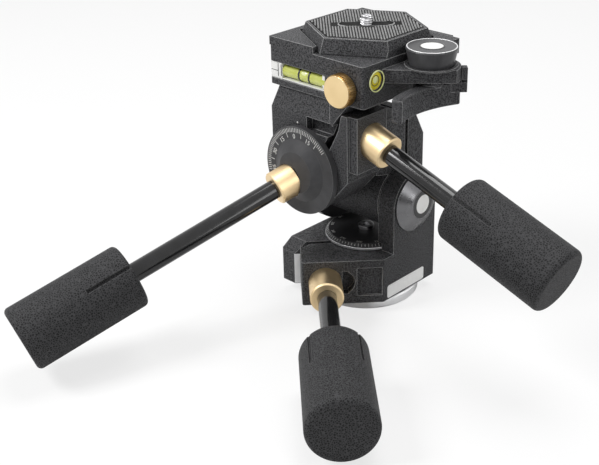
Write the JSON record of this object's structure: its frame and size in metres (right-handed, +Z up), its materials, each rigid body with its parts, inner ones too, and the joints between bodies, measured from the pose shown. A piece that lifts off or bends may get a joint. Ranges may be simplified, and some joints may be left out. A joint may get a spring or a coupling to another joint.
{
  "type": "pan and tilt tripod head",
  "caption": "Tripod head with pan, tilt and lateral split clamps, a hexagonal quick release plate with its lever, bubble levels and rubber gripped locking handles.",
  "frame": {"origin": "centre of the underside of the base disc, on the pan axis and the axis of the tripod thread", "axes": "+Z up along the pan axis, +X towards the side with the upright arm and the silver cap, -Y towards the side with the graduated dial and the long handle"},
  "size_m": [0.2243, 0.2329, 0.1598],
  "materials": {
    "silver": "satin silver anodised, turned",
    "brass": "turned, lightly polished",
    "steel": "bright turned steel",
    "black_casting": "cast aluminium with a fine grained black powder coat",
    "dark_dial": "satin dark grey anodised with printed white marks",
    "black_plastic": "smooth moulded",
    "white_plastic": "smooth moulded",
    "vial_fluid": "clear acrylic vial filled with yellow green fluid",
    "rubber_pad": "matt rubber with fine dots",
    "black_rod": "glossy black",
    "rubber_grip": "pebbled moulded rubber"
  },
  "bodies": {
    "base": {"base_disc": "silver", "tripod_bush": "brass", "pan_post": "steel", "pan_washer": "brass", "pan_scale_disc": "dark_dial", "post_screw": "steel"},
    "pan_stage": {"pan_body": "black_casting", "tilt_axle": "steel", "tilt_end_plate": "steel", "tilt_plate_screw": "steel", "tilt_end_cap": "silver", "tilt_cap_ring": "black_plastic", "tilt_cap_insert": "white_plastic"},
    "pan_handle": {"pan_collar": "brass", "pan_rod": "black_rod", "pan_grip": "rubber_grip"},
    "tilt_stage": {"tilt_body": "black_casting", "tilt_washer": "brass", "lateral_axle": "steel", "lateral_dial": "dark_dial"},
    "tilt_handle": {"tilt_collar": "brass", "tilt_rod": "black_rod", "tilt_grip": "rubber_grip"},
    "platform_stage": {"platform": "black_casting", "tube_vial": "vial_fluid", "vial_block": "white_plastic", "vial_rings": "black_plastic", "round_vial_case": "black_plastic", "round_vial_lens": "vial_fluid"},
    "lateral_handle": {"lateral_collar": "brass", "lateral_rod": "black_rod", "lateral_grip": "rubber_grip"},
    "plate": {"quick_plate": "black_casting", "plate_pad": "rubber_pad"},
    "screw": {"camera_screw": "steel"},
    "lever": {"plate_lever": "black_casting", "lever_pivot": "steel", "lever_spring": "steel", "lever_cap": "black_plastic", "lever_cap_insert": "white_plastic"},
    "knob": {"safety_knob": "brass"}
  },
  "joints": [
    {"name": "pan_turn", "type": "hinge", "parent": "base", "child": "pan_stage", "pos_m": [0, 0, 0.02], "axis": [0, 0, 1], "continuous": true},
    {"name": "tilt_turn", "type": "hinge", "parent": "pan_stage", "child": "tilt_stage", "pos_m": [0, 0.0075, 0.059], "axis": [-1, 0, 0], "range_deg": [-25, 90]},
    {"name": "lateral_turn", "type": "hinge", "parent": "tilt_stage", "child": "platform_stage", "pos_m": [-0.0105, 0, 0.082], "axis": [0, -1, 0], "range_deg": [-30, 90]},
    {"name": "pan_handle_turn", "type": "hinge", "parent": "pan_stage", "child": "pan_handle", "pos_m": [0.00711, -0.0419, 0.0205], "axis": [0.7254, -0.6884, 0], "range_deg": [0, 180]},
    {"name": "tilt_handle_turn", "type": "hinge", "parent": "tilt_stage", "child": "tilt_handle", "pos_m": [-0.0105, -0.026, 0.082], "axis": [-0.2755, -0.9068, -0.319], "range_deg": [0, 180]},
    {"name": "lateral_handle_turn", "type": "hinge", "parent": "platform_stage", "child": "lateral_handle", "pos_m": [0.026, -0.0247, 0.1036], "axis": [0.9476, -0.0165, -0.319], "range_deg": [0, 180]},
    {"name": "plate_lift", "type": "slide", "parent": "platform_stage", "child": "plate", "axis": [0, 0, 1], "range_m": [0, 0.03]},
    {"name": "camera_screw_turn", "type": "hinge", "parent": "plate", "child": "screw", "pos_m": [0, 0, 0.15], "axis": [0, 0, 1], "continuous": true},
    {"name": "lever_swing", "type": "hinge", "parent": "platform_stage", "child": "lever", "pos_m": [0.0438, 0, 0.126], "axis": [0, 0, 1], "range_deg": [0, 70], "stiffness_Nm_per_rad": 0.15, "springref_deg": -17.19},
    {"name": "safety_knob_turn", "type": "hinge", "parent": "platform_stage", "child": "knob", "pos_m": [0.0175, -0.04, 0.1326], "axis": [0, -1, 0], "continuous": true}
  ]
}
